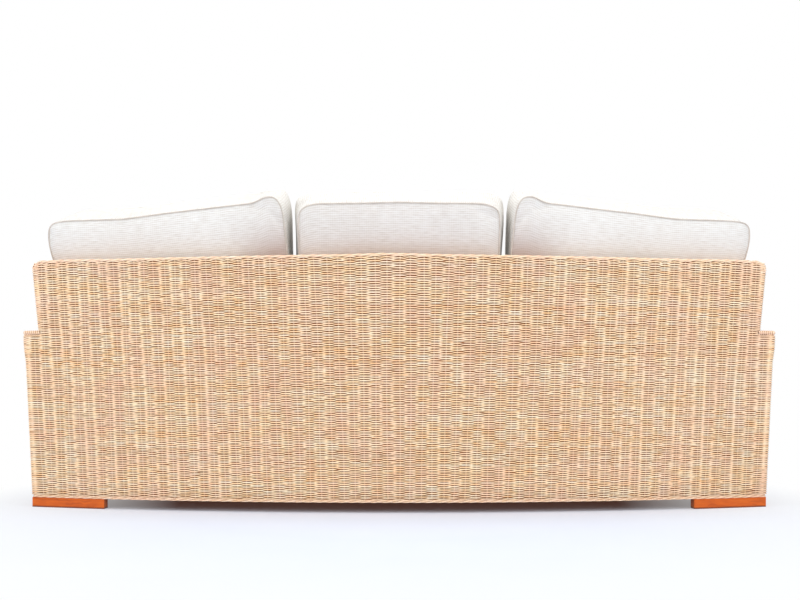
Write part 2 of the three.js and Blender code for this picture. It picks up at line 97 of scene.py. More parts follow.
RIPPLE_WAVES = ((31, 9, 0), (17, -23, 1.3), (-12, 43, 4.1), (24, 28, 2.2))
ARCH = 0.0009  # the highest weavers rise over the stakes' ends
ARCH_DEEP = 0.022
SEAM_LOW, SEAM_HIGH = 0.210, 0.380  # the rear weave is made in parts between these heights

# The back's upper edge is lower than its middle and its ends by these amounts, at these places along it
SETTLED = ((-1.0, 0.0), (-0.86, 0.0026), (-0.76, 0.0036), (-0.46, 0.0036), (-0.32, 0.0030), (-0.15, 0.0022),
           (-0.06, 0.0006), (0.0, -0.0012), (0.05, -0.0014), (0.10, 0.0002), (0.17, 0.0018), (0.32, 0.0028),
           (0.46, 0.0036), (0.76, 0.0036), (0.86, 0.0026), (1.0, 0.0))
SETTLED_DEEP = 0.12

# Borders
PAIR_TURN = 2 * STAKE  # two twisted canes go once round each other in this length
BORDER_Z = 0.0349
BORDER_INSET = 0.0036
BORDER_RADIUS = 0.0021
BORDER_SHIFTS = (-0.0022, 0.0023)
ROPE_INSET = 0.0024
ROPE_LIFT = 0.0046
ROPE_RADIUS = 0.0027
CAP_INSET = 0.0055
RIM_RADIUS = 0.0070
RIM_TURN = 0.0070
RIM_PROUD = 0.0018

# Cushions
SEAT_THICK = 0.140
BACK_THICK = 0.170
BACK_RISE = 0.064  # the upper side of a back cushion rises this much towards its front
BACK_TALLEST = 0.218  # but no higher than this above the woven back
SEAT_CROWN = 0.008
BACK_CROWN = 0.014
PIPING_RADIUS = 0.0021
PIPING_PROUD = 0.0008
CREASE = 0.85


# Colours and material nodes

WHITE = (1.0, 1.0, 1.0, 1.0)


def linear(*levels):
    """An sRGB colour, 0 to 255, as Blender's linear one."""
    shares = [v / 255 for v in levels]
    return tuple(v / 12.92 if v <= 0.04045 else ((v + 0.055) / 1.055) ** 2.4 for v in shares) + (1.0,)


class Nodes:
    """The nodes of a material or a world, with short ways to add them."""

    def __init__(self, owner, output="OutputMaterial"):
        owner.use_nodes = True
        self.owner = owner
        self.tree = owner.node_tree
        self.tree.nodes.clear()
        self.out = self.add(output)

    def add(self, kind, inputs=(), **settings):
        """A new node. Each input is a value, or the node or socket that feeds it."""
        made = self.tree.nodes.new("ShaderNode" + kind)
        for key, value in settings.items():
            setattr(made, key, value)
        for key, value in dict(inputs).items():
            value = value.outputs[0] if isinstance(value, bpy.types.Node) else value
            if isinstance(value, bpy.types.NodeSocket):
                self.tree.links.new(value, made.inputs[key])
            else:
                made.inputs[key].default_value = value
        return made

    def attribute(self, name):
        return self.add("Attribute", attribute_name=name).outputs["Fac"]

    def noise(self, vector, scale, detail=2.0, roughness=0.5):
        inputs = {"Vector": vector, "Scale": scale, "Detail": detail, "Roughness": roughness}
        return self.add("TexNoise", inputs)

    def math(self, operation, *values):
        return self.add("Math", enumerate(values), operation=operation)

    def total(self, *terms):
        """The sum of values, each times its own number."""
        *others, (value, times) = terms
        summed = self.math("MULTIPLY", value, times)
        for value, times in reversed(others):
            summed = self.math("MULTIPLY_ADD", value, times, summed)
        return summed

    def waves(self, value, spacing, *drift):
        return self.math("SINE", self.total((value, FULL_TURN / spacing), *drift))

    def stretch(self, value, low, high, to_low=0.0, to_high=1.0):
        inputs = {"Value": value, "From Min": low, "From Max": high, "To Min": to_low, "To Max": to_high}
        return self.add("MapRange", inputs)

    def ramp(self, value, *stops):
        made = self.add("ValToRGB", {"Fac": value})
        band = made.color_ramp
        while len(band.elements) < len(stops):
            band.elements.new(0.5)
        for element, (place, colour) in zip(band.elements, stops):
            element.position = place
            element.color = linear(*colour)
        return made

    def mix(self, factor, a, b, blend="MIX"):
        return self.add("Mix", {0: factor, 6: a, 7: b}, data_type="RGBA", blend_type=blend).outputs[2]

    def vector(self, x, y, z):
        return self.add("CombineXYZ", {"X": x, "Y": y, "Z": z})

    def plane(self, x, x_times, y, y_times):
        return self.vector(self.math("MULTIPLY", x, x_times), self.math("MULTIPLY", y, y_times), 0.0)

    def split(self, vector):
        return self.add("SeparateXYZ", {"Vector": vector}).outputs

    def length(self, vector):
        return self.add("VectorMath", {0: vector}, operation="LENGTH").outputs["Value"]

    def places(self):
        return self.add("TexCoord").outputs["Object"]

    def scaled(self, vector, *scale):
        return self.add("Mapping", {"Vector": vector, "Scale": scale})

    def bump(self, height, strength, distance):
        return self.add("Bump", {"Height": height, "Strength": strength, "Distance": distance})

    def shown(self, shader):
        self.tree.links.new(shader.outputs[0], self.out.inputs["Surface"])
        return self.owner

    def surface(self, colour, roughness, normal, gloss=0.5, sheen=0.0):
        inputs = {"Base Color": colour, "Roughness": roughness, "Normal": normal,
                  "Specular IOR Level": gloss, "Sheen Weight": sheen}
        return self.shown(self.add("BsdfPrincipled", inputs))


def material_nodes(name):
    return Nodes(bpy.data.materials.new(name))


def rattan(name, low, middle, high, pink, painted_shade_colour):
    """Cane: each strand has its own tone and streaks, and painted shade darkens it where it dives behind a
    stake and in crevices.
    """
    n = material_nodes(name)
    tone, shade, run = (n.attribute(key) for key in ("tone", "shade", "run"))
    streak = n.noise(n.plane(run, 40.0, tone, 391.0), 1.0, 4.0, 0.65)
    patch = n.noise(n.places(), 16.0, 3.0)
    blush = n.noise(n.places(), 11.0, 3.0, 0.6)
    mixed = n.total((tone, 0.24), (streak, 0.5), (patch, 0.32))
    colour = n.ramp(mixed, (0.345, low), (0.525, middle), (0.70, high))
    tinted = n.mix(n.stretch(blush, 0.42, 0.64, 0.0, 0.6), colour, linear(*pink))
    # Painted shade: where the shade attribute is low, the colour is multiplied towards the dark shade colour
    dark = n.mix(n.stretch(shade, 0.0, 0.9), painted_shade_colour, WHITE)
    shaded = n.mix(1.0, tinted, dark, "MULTIPLY")
    rough = n.stretch(streak, 0.3, 0.7, 0.5, 0.66)
    fibre = n.noise(n.plane(run, 60.0, tone, 991.0), 1.0, 3.0)
    return n.surface(shaded, rough, n.bump(fibre, 0.25, 0.0006), 0.10)


# Meshes from arrays

def fill(items, key, values, kind=np.float32):
    items.foreach_set(key, np.ascontiguousarray(values, kind).ravel())


def placed(name, data):
    """A new object in the scene."""
    made = bpy.data.objects.new(name, data)
    bpy.context.scene.collection.objects.link(made)
    return made


def mesh_object(name, material, places, quads, uvs, facts=()):
    """An object from arrays: points, faces, map places for each face corner, and values for each point."""
    mesh = bpy.data.meshes.new(name)
    mesh.vertices.add(len(places))
    fill(mesh.vertices, "co", places)
    mesh.loops.add(quads.size)
    fill(mesh.loops, "vertex_index", quads, np.int32)
    mesh.polygons.add(len(quads))
    fill(mesh.polygons, "loop_start", np.arange(0, quads.size, quads.shape[1]), np.int32)
    mesh.update(calc_edges=True)
    fill(mesh.polygons, "use_smooth", np.ones(len(quads)), bool)
    fill(mesh.uv_layers.new(name="OFBake").uv, "vector", uvs)
    for key, values in dict(facts).items():
        fill(mesh.attributes.new(key, "FLOAT", "POINT").data, "value", values)
    mesh.materials.append(material)
    return placed(name, mesh)


def bands(count, across):
    """A band of the map for each of count strips, with its places across the strip."""
    return (np.arange(count)[:, None, None] + 0.1 + 0.8 * np.linspace(0, 1, across)) / count


class Parts:
    """Grids of points gathered into one mesh. Each takes its own band of the map."""

    def __init__(self):
        self.pieces, self.count = [], 0

    def add(self, grid, u, v, tone, shade, run):
        """grid is (strips, long, across, 3); the rest is broadcast to (strips, long, across)."""
        at = np.arange(math.prod(grid.shape[:3])).reshape(grid.shape[:3])
        corners = at[:, :-1, :-1], at[:, :-1, 1:], at[:, 1:, 1:], at[:, 1:, :-1]
        quads = np.stack(corners, -1).reshape(-1, 4)
        whole = np.stack([np.broadcast_to(x, at.shape).ravel() for x in (u, v, tone, shade, run)], 1)
        uvs = whole[quads, :2].reshape(-1, 2)
        self.pieces.append((grid.reshape(-1, 3), quads + self.count, uvs, whole[:, 2:]))
        self.count += at.size

    def make(self, name, material):
        places, quads, uvs, facts = (np.concatenate(x) for x in zip(*self.pieces))
        return mesh_object(name, material, places, quads, uvs, dict(zip(("tone", "shade", "run"), facts.T)))


def finished(parts, name, material, node=None):
    """The cane of a node, or of a part of it, in that node's place."""
    made = parts.make(name + "_cane", material)
    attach(made, "frame")
    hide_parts(node or name)
    return made


def smooth_step(value, low, high):
    share = np.clip((value - low) / (high - low), 0, 1)
    return share * share * (3 - 2 * share)


def unit(vectors):
    return vectors / np.linalg.norm(vectors, axis=-1, keepdims=True)


def stood(flat, z):
    """Plan points at one height."""
    return np.concatenate([flat, np.full((len(flat), 1), z)], 1)


def lengths(path):
    return np.concatenate([[0], np.cumsum(np.linalg.norm(np.diff(path, axis=0), axis=1))])


def along(path, places):
    where = lengths(path)
    return np.stack([np.interp(places, where, line) for line in path.T], -1)


# The plan of the woven walls

def bow_depth(x, inset=0.0):
    return np.sqrt((BOW_RADIUS - inset) ** 2 - np.square(x)) - math.sqrt(BOW_RADIUS ** 2 - HALF_WIDTH ** 2)


def rear_y(x, z, inset=0.0):
    return REAR_CORNER_Y + RAKE * (z - FOOT_HEIGHT) + bow_depth(x, inset)


def wall_y(x, z):
    """The seat side of the back."""
    return rear_y(x, z, BACK_TOP_THICKNESS + (RECLINE - RAKE) * (BACK_HEIGHT - z))


def rounding(z, top, radius):
    """How far a face with a rounded upper edge is drawn in at a height."""
    reach = np.clip(z - (top - radius), 0, radius)
    return radius - np.sqrt(radius ** 2 - reach ** 2)


def shoulder_x(z):
    flare = SHOULDER_FLARE * np.clip((z - ARM_HEIGHT) / (BACK_HEIGHT - ARM_HEIGHT), 0, 1)
    return SHOULDER + flare - rounding(z, BACK_HEIGHT, BACK_CORNER)


def corners_at(z):
    """The corners of the walls' outline at a height, each with the name of the panel that starts there."""
    if z > ARM_HEIGHT:
        s = shoulder_x(z)
        rear, wall = rear_y(s, z), wall_y(s, z)
        return [("rear", s, rear), ("right_back_end", -s, rear), ("inner_back", -s, wall),
                ("left_back_end", s, wall)]
    w = HALF_WIDTH + ARM_BULGE * smooth_step(z, BULGE_START, BULGE_END)
    rear, wall, front, a = rear_y(w, z), wall_y(ARM_INNER, z), FRONT_Y, ARM_INNER
    outside = [("left_arm_front", a, front), ("left_arm_outer", w, front), ("rear", w, rear),
               ("right_arm_outer", -w, rear), ("right_arm_front", -w, front)]
    if z < DECK:
        return outside + [("front_apron", -a, front)]
    return outside + [("right_arm_inner", -a, front), ("inner_back", -a, wall), ("left_arm_inner", a, wall)]


def legs_at(z, count=81):
    """The walls' outline at a height, as named legs in order, each with its wall on the left."""
    corners = corners_at(z)
    legs = []
    for (name, *start), (_, *end) in zip(corners, corners[1:] + corners[:1]):
        leg = np.array([start, end])
        if name in ("rear", "inner_back"):
            xs = np.linspace(start[0], end[0], count)
            leg = np.stack([xs, (rear_y if name == "rear" else wall_y)(xs, z)], 1)
        legs.append((name, leg))
    return legs


def turned(v, angle):
    c, s = math.cos(angle), math.sin(angle)
    return np.array([c * v[0] - s * v[1], s * v[0] + c * v[1]])


def half_corner(corner, arrive, leave, straight=0.02, step=0.0004):
    """Half of a rounded corner, from the arriving leg to its middle, and the length that it takes up."""
    turn = math.atan2(arrive[0] * leave[1] - arrive[1] * leave[0], arrive @ leave)
    if abs(turn) < straight:
        return corner - np.outer(np.arange(3, -1, -1) * step, arrive), 3 * step
    radius = CORNER_RADIUS if turn > 0 else HOLLOW_RADIUS
    cut = radius * math.tan(abs(turn) / 2)
    centre = corner - arrive * cut + radius * turned(arrive, math.copysign(math.pi / 2, turn))
    start = corner - arrive * cut - centre
    return np.array([centre + turned(start, turn * share) for share in (0, 1 / 6, 1 / 3, 1 / 2)]), cut


def panel_path(panel, z, apart=1e-6):
    """The plan of one panel at a height, with half of the rounded corner at each end."""
    legs = legs_at(z)
    index = [name for name, _ in legs].index(panel)
    own, before, after = legs[index][1], legs[index - 1][1], legs[(index + 1) % len(legs)][1]
    end, end_cut = half_corner(own[-1], unit(own[-1] - own[-2]), unit(after[1] - after[0]))
    start, start_cut = half_corner(own[0], unit(own[0] - own[1]), unit(before[-2] - before[-1]))
    where = lengths(own)
    keep = (where > start_cut + apart) & (where < where[-1] - end_cut - apart)
    return np.concatenate([start[::-1], own[keep], end]), len(start) - 1, len(end) - 1


def ripple(points, z, inside):
    """How far the uneven wall stands out. It is flat at its ends and its borders."""
    x = points[:, 0] + 0.7 * points[:, 1]
    waves = sum(np.sin(p * x + q * z + start) for p, q, start in RIPPLE_WAVES)
    fade = smooth_step(inside, 0.0, 0.06) * smooth_step(z, WEAVE_BOTTOM, WEAVE_BOTTOM + 0.05)
    fade = fade * smooth_step(abs(z - ARM_HEIGHT), 0.0, 0.03) * smooth_step(BACK_WEAVE_TOP - z, 0.0, 0.05)
    return RIPPLE * 0.5 * waves * fade


def wall_places(panel, z, count, reach=0.002):
    """count places along a panel at a height, with those of its rounded ends, all on its uneven face.

    With them come the way out of the wall at each, and how far each is from the rounded ends.
    """
    path, start_arc, end_arc = panel_path(panel, z)
    where = lengths(path)
    first, last = where[start_arc], where[len(path) - 1 - end_arc]
    spread = np.concatenate([where[:start_arc], np.linspace(first, last, count), where[len(path) - end_arc:]])
    step = np.minimum(reach, where[-1] / 8)
    ahead, behind = np.minimum(spread + step, where[-1]), np.maximum(spread - step, 0)
    tangents = unit(along(path, ahead) - along(path, behind))
    normals = np.stack([tangents[:, 1], -tangents[:, 0]], 1)
    points, inside = along(path, spread), np.minimum(spread - first, last - spread)
    return points + normals * ripple(points, z, inside)[:, None], normals, inside


def uneven(s, z):
    """The stakes aren't set quite evenly, nor quite upright."""
    c = s / STAKE
    return 0.05 * np.sin(2.9 * c + 1.7) + 0.03 * np.sin(5.1 * c + 4 * z) + 0.05 * np.sin(1.3 * c + 9 * z)


def columns_at(panel, points, z):
    """How many stakes there are up to each point. They stand farther apart in the middle of the rear."""
    if panel.endswith(("arm_outer", "arm_inner")):
        return (points[:, 1] - FRONT_Y) / STAKE
    if panel.endswith("back_end"):
        return (points[:, 1] - wall_y(SHOULDER, z)) / STAKE
    s = points[:, 0]
    if panel in ("rear", "inner_back"):
        s = BOW_RADIUS * np.arcsin(s / BOW_RADIUS)
    if panel != "rear":
        return s / STAKE + uneven(s, z)
    wide = 0.01 + 0.11 * (z - WEAVE_BOTTOM) / (BACK_WEAVE_TOP - WEAVE_BOTTOM)
    spread, half = 0.26, BOW_RADIUS * math.asin(HALF_WIDTH / BOW_RADIUS)
    taken = wide * spread * 0.886
    ends = 0.036 * np.sign(s) * np.abs(s / half) ** 6
    return (s - taken * np.tanh(1.2 * s / spread) - ends) * half / (half - taken) / STAKE + uneven(s, z)


# Strands and woven panels

def strand_tones(rng, spread):
    """A tone for each place along a row. It changes where one length of cane ends and the next begins."""
    tones = np.empty(len(spread))
    start = spread[0] - rng.uniform(0, 1.5)
    while start <= spread[-1]:
        end = start + rng.uniform(0.7, 2.6)
        tones[(spread >= start) & (spread <= end)] = rng.beta(2.2, 2.0)
        start = end
    return tones


class Weavers:
    """Strands side by side. Each goes in front of one stake and behind the next."""

    def __init__(self, rng, across=4, half=STRAND_HALF, depth=STRAND_DEPTH, wander=WANDER, swell=SWELL):
        self.rng, self.across = rng, across
        self.half, self.depth, self.wander, self.swell = half, depth, wander, swell
        self.rows = []

    def add(self, points, outs, sides, columns, parity, free=1.0, sink=0.0, arch=0.0, light=1.0, open_by=0.0):
        """points are the stakes' line, outs the way out of the wall, and sides the way across the strand.

        free is 0 where the strand goes round a corner, sink draws it in, and arch lifts it over the stakes.
        light dims all of it with painted shade, and open_by makes its painted dark stretches shorter.
        """
        rng, angles = self.rng, np.radians(np.linspace(-STRAND_SWEEP, STRAND_SWEEP, self.across))
        spread = lengths(points)
        knots = np.linspace(0, spread[-1], max(12, int(spread[-1] / KNOT)))
        drift, early, fuller = (np.interp(spread, knots, rng.normal(0, size, len(knots))) for size in UNEVEN)
        wave = np.cos(math.pi * (columns + early * free + parity)) * free
        wave = wave + math.cos(math.pi * parity) * CORNER_WAVE * (1 - free)
        drift = drift * free + arch * np.cos(FULL_TURN * columns)
        thick = rng.normal(1, 0.05)
        out = self.wander * wave + (1 - free) * CORNER_PROUD - sink
        half = self.half * thick * (1 + self.swell * wave)
        across_out = out[:, None] + self.depth * thick * np.cos(angles)
        across_side = drift[:, None] + half[:, None] * np.sin(angles)
        places = points[:, None] + outs * across_out[..., None] + sides * across_side[..., None]
        # Painted shade: dark stretches where the strand dives behind a stake, and darker edges as in the
        # crevices between strands
        edge = 1 - 0.25 * np.abs(np.sin(angles)) ** 3
        shade = smooth_step(wave + fuller + open_by, -0.60, 0.06)[:, None] * edge * light
        self.rows.append((places, spread / spread[-1], strand_tones(rng, spread), shade,
                          spread + rng.uniform(0, 5)))

    def into(self, parts, share=0.9, start=0.0):
        places, u, tones, shades, runs = (np.array(x) for x in zip(*self.rows))
        v = start + share * bands(len(self.rows), self.across)
        parts.add(places, u[..., None], v, tones[..., None], shades, runs[..., None])


def under_rim(panel, points, z):
    """How far a panel is drawn in under an arm's rim. The rear is there only past the back's shoulders."""
    share = float("arm" in panel)
    if panel == "rear":
        share = smooth_step(np.abs(points[:, 0]), SHOULDER - 0.001, SHOULDER + 0.003) * (z <= ARM_HEIGHT)
    behind = 0.0024 * smooth_step(z, ARM_HEIGHT - 0.017, ARM_HEIGHT - 0.013)
    return np.full(len(points), share * (behind + rounding(z, ARM_HEIGHT, TOP_ROUND)))


def weave(panel, part, low, high, material, seed, density=4, across=4):
    """The strands of a woven panel between two heights, with its stakes and a dark sheet behind them as
    painted shade.
    """
    rng = np.random.default_rng(seed)
    first = math.ceil((low - WEAVE_BOTTOM) / ROW - 0.5 - 1e-6)
    last = math.floor((high - WEAVE_BOTTOM) / ROW - 0.5 + 1e-6)
    rows = np.arange(first, last + 1)
    heights = WEAVE_BOTTOM + (rows + 0.5) * ROW
    longest = max(lengths(panel_path(panel, z)[0])[-1] for z in (heights[0], heights[-1]))
    count = max(4, math.ceil(longest / STAKE * density))
    weavers, parts = Weavers(rng, across), Parts()
    for row, z in zip(rows, heights):
        points, normals, inside = wall_places(panel, z, count)
        arch = ARCH * smooth_step(z, BACK_WEAVE_TOP - ARCH_DEEP, BACK_WEAVE_TOP)
        # Painted shade: the lowest rows are darker, and the painted dark stretches are longest in the middle
        # of the rear, where less light falls
        light = 1 - 0.12 * (1 - smooth_step(z - WEAVE_BOTTOM, 0.012, 0.035)) - 0.25 * (row == 0)
        open_by = -0.09 + 0.17 * smooth_step(np.abs(points[:, 0]), 0.25, 0.9) if panel == "rear" else 0.0
        middles, columns = stood(points - normals * MIDDLE, z), columns_at(panel, points, z)
        free, outs = smooth_step(inside, 0.0, CORNER_FADE), stood(normals, 0.0)[:, None]
        weavers.add(middles, outs, UP, columns, row, free, under_rim(panel, points, z), arch, light, open_by)
    weavers.into(parts)
    span = heights[0] - SHEET_END, heights[-1] + SHEET_END
    add_stakes(parts, panel, np.linspace(*span, 7), rng)
    add_shade_sheet(parts, panel, np.linspace(*span, 13))
    return finished(parts, f"{panel}_weave{part}", material, panel + "_weave")


def add_stakes(parts, panel, levels, rng, visible=0.006):
    lines = {}
    for z in levels:
        points, normals, inside = wall_places(panel, z, 400)
        columns = columns_at(panel, points, z)
        order = np.argsort(columns)
        facts = np.column_stack([points, normals, under_rim(panel, points, z)])[order].T
        shown = columns[inside > visible]
        for stake in range(math.ceil(shown.min()), math.floor(shown.max()) + 1):
            at = [np.interp(stake, columns[order], fact) for fact in facts]
            lines.setdefault(stake, []).append([*at, z])
    angles = np.radians([-80, -30, 30, 80])
    strips = []
    for stake in sorted(lines):
        line = np.array(lines[stake])
        if len(line) < 2:
            continue
        where = np.linspace(line[0, 5], line[-1, 5], len(levels))
        line = np.stack([np.interp(where, line[:, 5], fact) for fact in line.T], 1)
        centre, normal, drawn = line[:, None, :2], line[:, None, 2:4], line[:, 4, None]
        side = np.stack([-normal[..., 1], normal[..., 0]], -1)
        depth = -MIDDLE - drawn + STAKE_RADIUS * np.cos(angles)
        flat = centre + normal * depth[..., None] + side * (STAKE_RADIUS * np.sin(angles))[None, :, None]
        height = np.broadcast_to(line[:, 5, None, None], flat.shape[:2] + (1,))
        strips.append(np.concatenate([flat, height], -1))
    if not strips:
        return
    grid = np.array(strips)
    tones = rng.uniform(0.3, 0.9, len(strips))[:, None, None]
    v = 0.91 + 0.06 * np.linspace(0, 1, len(levels))[:, None]
    # The stakes are darkened by painted shade
    parts.add(grid, bands(len(strips), len(angles)), v, tones, STAKE_SHADE, grid[..., 2])


# A dark sheet behind the weave: painted shade where the gaps show through
def add_shade_sheet(parts, panel, levels):
    sheet = []
    for z in levels:
        points, normals, _ = wall_places(panel, z, 60)
        sheet.append(stood(points - normals * (SHADE_SHEET_DEPTH + under_rim(panel, points, z))[:, None], z))
    grid = np.array(sheet)[None]
    v = 0.98 + 0.02 * np.linspace(0, 1, len(levels))[:, None]
    parts.add(grid, np.linspace(0, 1, grid.shape[2]), v, 0.1, 0.0, 0.0)


def settle(made):
    """Lowers the back's upper edge a little between its middle and its ends."""
    places = np.array([v.co for v in made.data.vertices])
    down = np.interp(places[:, 0], *zip(*SETTLED))
    places[:, 2] -= down * smooth_step(places[:, 2], BACK_HEIGHT - SETTLED_DEEP, BACK_HEIGHT)
    fill(made.data.vertices, "co", places)
    made.data.update()


# Borders and caps

def ring(centres, outs, ups, radii, sides=6):
    """A tube's grid about a line: (long, sides + 1, 3)."""
    turns = np.linspace(0, FULL_TURN, sides + 1)
    return (centres[:, None] + outs[:, None] * (radii * np.cos(turns))[..., None]
            + ups[:, None] * (radii * np.sin(turns))[..., None])


def resampled(points, spacing):
    where = lengths(points)
    places = np.linspace(0, where[-1], max(3, int(round(where[-1] / spacing)) + 1))
    return along(points, places), places


def frames_along(points):
    """The way forward, out and up at each point of a line, with the wall on its left."""
    forward = unit(np.gradient(points, axis=0))
    out = unit(np.cross(forward, UP))
    return forward, out, np.cross(out, forward)


def twist(parts, line, rng, radius, reach_out, reach_up, phases, low, share, shift=0.0, samples=10):
    """Strands that twist round each other along a line, a whole number of times.

    They take a share of the map from low on.
    """
    total = lengths(line)[-1]
    turns = max(1, round(total / PAIR_TURN))
    points, places = resampled(line, total / turns / samples)
    _, outs, ups = frames_along(points)
    angles = FULL_TURN * (places / total * turns + np.array(phases)[:, None])
    grids = []
    for angle in angles:
        away = outs * (reach_out * np.cos(angle))[:, None] + ups * (shift + reach_up * np.sin(angle))[:, None]
        grids.append(ring(points + away, outs, ups, radius))
    v = low + share * bands(len(phases), 7)
    # Painted shade: each strand is darker where it turns to the back of the twist
    shade = 0.74 + 0.26 * np.cos(angles)
    tones = np.array([strand_tones(rng, places) for _ in phases])
    parts.add(np.array(grids), (places / total)[:, None], v, tones[..., None], shade[..., None],
              places[:, None])


def bottom_border(name, panels, material, seed):
    """Two twisted pairs, one on the other, under the weave."""
    rng = np.random.default_rng(seed)
    parts = Parts()
    for index, panel in enumerate(panels):
        line = stood(panel_path(panel, BORDER_Z)[0], BORDER_Z)
        line = line - frames_along(line)[1] * BORDER_INSET
        for pair, shift in enumerate(BORDER_SHIFTS):
            low = (index * 2 + pair) / (len(panels) * 2)
            twist(parts, line, rng, BORDER_RADIUS, 0.0020, 0.0009, (0.25 * pair, 0.5 + 0.25 * pair),
                  low, 0.5 / len(panels), shift)
    finished(parts, name, material)


def back_edge(inset, lift, samples=161):
    """A line along the top of the back, down round both upper corners, at an inset from the rear face."""
    z_top = BACK_HEIGHT - lift
    reach = SHOULDER + SHOULDER_FLARE - lift
    angles = np.linspace(0, math.pi / 2, 7)
    turn = np.stack([reach - BACK_CORNER + BACK_CORNER * np.sin(angles),
                     z_top - BACK_CORNER + BACK_CORNER * np.cos(angles)], 1)
    flat = np.linspace(-reach + BACK_CORNER, reach - BACK_CORNER, samples)[1:-1]
    middle = np.stack([flat, np.full(len(flat), z_top)], 1)
    line = np.concatenate([(turn * (-1, 1))[::-1], middle, turn])
    return np.stack([line[:, 0], rear_y(line[:, 0], line[:, 1], inset), line[:, 1]], 1)


def top_border(material):
    """The back's rolled edge: a rope along each face, and weavers over the top between them."""
    rng = np.random.default_rng(41)
    parts = Parts()
    for index, (inset, towards) in enumerate(((ROPE_INSET, -1), (BACK_TOP_THICKNESS - ROPE_INSET, 1))):
        line = back_edge(inset, ROPE_LIFT)[::towards]
        twist(parts, line, rng, ROPE_RADIUS, 0.0018, 0.0016, (0.0, 0.5), 0.1 * index, 0.1, samples=12)
    caps = Weavers(rng, half=0.0020, depth=0.0016, wander=0.0011, swell=0.2)
    for row, inset in enumerate(np.linspace(CAP_INSET, BACK_TOP_THICKNESS - CAP_INSET, 10)):
        edge = abs(2 * inset / BACK_TOP_THICKNESS - 1)
        points, places = resampled(back_edge(inset, 0.0026 + 0.0030 * edge ** 3), STAKE / 4)
        outs = np.cross(frames_along(points)[0], DEEP)[:, None]
        caps.add(points, outs, DEEP, (places - places[-1] / 2) / STAKE, row)
    caps.into(parts, 0.75, 0.22)
    return finished(parts, "top_border_roll", material)


def arm_rim(name, side, z, past=0.004, apart=1e-5):
    """The line round the top of one arm, with the arm on its left."""
    rear = panel_path("rear", z)[0]
    rear = rear[rear[:, 0] * side > SHOULDER]
    last = np.array([[side * (SHOULDER - past), rear_y(SHOULDER - past, z)]])
    rear = np.concatenate([rear, last][::side])
    order = [panel_path(f"{name}_arm_{part}", z)[0] for part in ("inner", "front", "outer")] + [rear]
    line = np.concatenate(order[::side])
    keep = np.concatenate([[True], np.linalg.norm(np.diff(line, axis=0), axis=1) > apart])
    return stood(line[keep], z)


def arm_top(name, side, material):
    """The top of one arm: weavers along it, and a rim of cane wound round the edge."""
    rng = np.random.default_rng(51 + side)
    parts = Parts()
    rows = Weavers(rng, half=0.0019, depth=0.0016, wander=0.0016, swell=0.25)
    z, inset = ARM_HEIGHT - 0.0042, 0.008
    for row, x in enumerate(np.linspace(ARM_INNER + inset, HALF_WIDTH - 0.006, 30)):
        rear = rear_y(x, z, inset) if x > SHOULDER else wall_y(x, ARM_HEIGHT) + 0.006
        ys = np.linspace(FRONT_Y + inset, rear, 104)
        points = stood(np.stack([np.full(len(ys), side * x), ys], 1), z)
        rows.add(points, UP, ACROSS, (ys - FRONT_Y) / STAKE, row)
    rows.into(parts, 0.6)
    line = arm_rim(name, side, ARM_HEIGHT - RIM_RADIUS + RIM_PROUD)
    line = line - frames_along(line)[1] * (RIM_RADIUS - RIM_PROUD)
    total = lengths(line)[-1]
    turns = int(total / RIM_TURN)
    points, places = resampled(line, total / turns / 6)
    _, outs, ups = frames_along(points)
    around = np.linspace(0, 1, 9)
    turn = places / total * turns
    swell = np.sin(math.pi * ((turn[:, None] + around) % 1)) ** 0.5
    grid = ring(points, outs, ups, RIM_RADIUS * (0.72 + 0.28 * swell), 8)
    turn_tones = rng.beta(2.2, 2.0, turns + 3)
    tones = turn_tones[np.clip((turn + 0.5).astype(int), 0, turns)]
    # Painted shade: swell squared darkens the crevices between the rim's turns
    parts.add(grid[None], (places / total)[:, None], 0.62 + 0.36 * around, tones[:, None], swell ** 2,
              places[:, None])
    finished(parts, name + "_arm_top_weave", material)


def deck(material):
    """The woven deck under the seat cushions: flat cane over the bearers."""
    rng = np.random.default_rng(61)
    parts = Parts()
    rows = Weavers(rng, half=0.0032, depth=0.0012, wander=0.0012, swell=0.2)
    front, reach = FRONT_Y + 0.010, ARM_INNER + 0.004

    def cut(xs, rear, share, depth):
        return stood(np.stack([xs, front + (rear - front) * share], 1), DECK - depth)

    xs = np.linspace(-reach, reach, 190)
    for row, share in enumerate(np.linspace(0, 1, 118)):
        rows.add(cut(xs, wall_y(xs, DECK) - 0.002, share, 0.0026), UP, DEEP, xs / STAKE, row)
    rows.into(parts)
    xs = np.linspace(-reach, reach, 41)
    # A dark sheet under the deck's cane, painted shade
    sheet = np.stack([cut(xs, wall_y(xs, DECK), share, SHADE_SHEET_DEPTH) for share in (0, 1)], 1)[None]
    parts.add(sheet, np.linspace(0, 1, 41)[:, None], np.array([0.93, 0.99]), 0.1, 0.0, 0.0)
    finished(parts, "seat_deck", material)


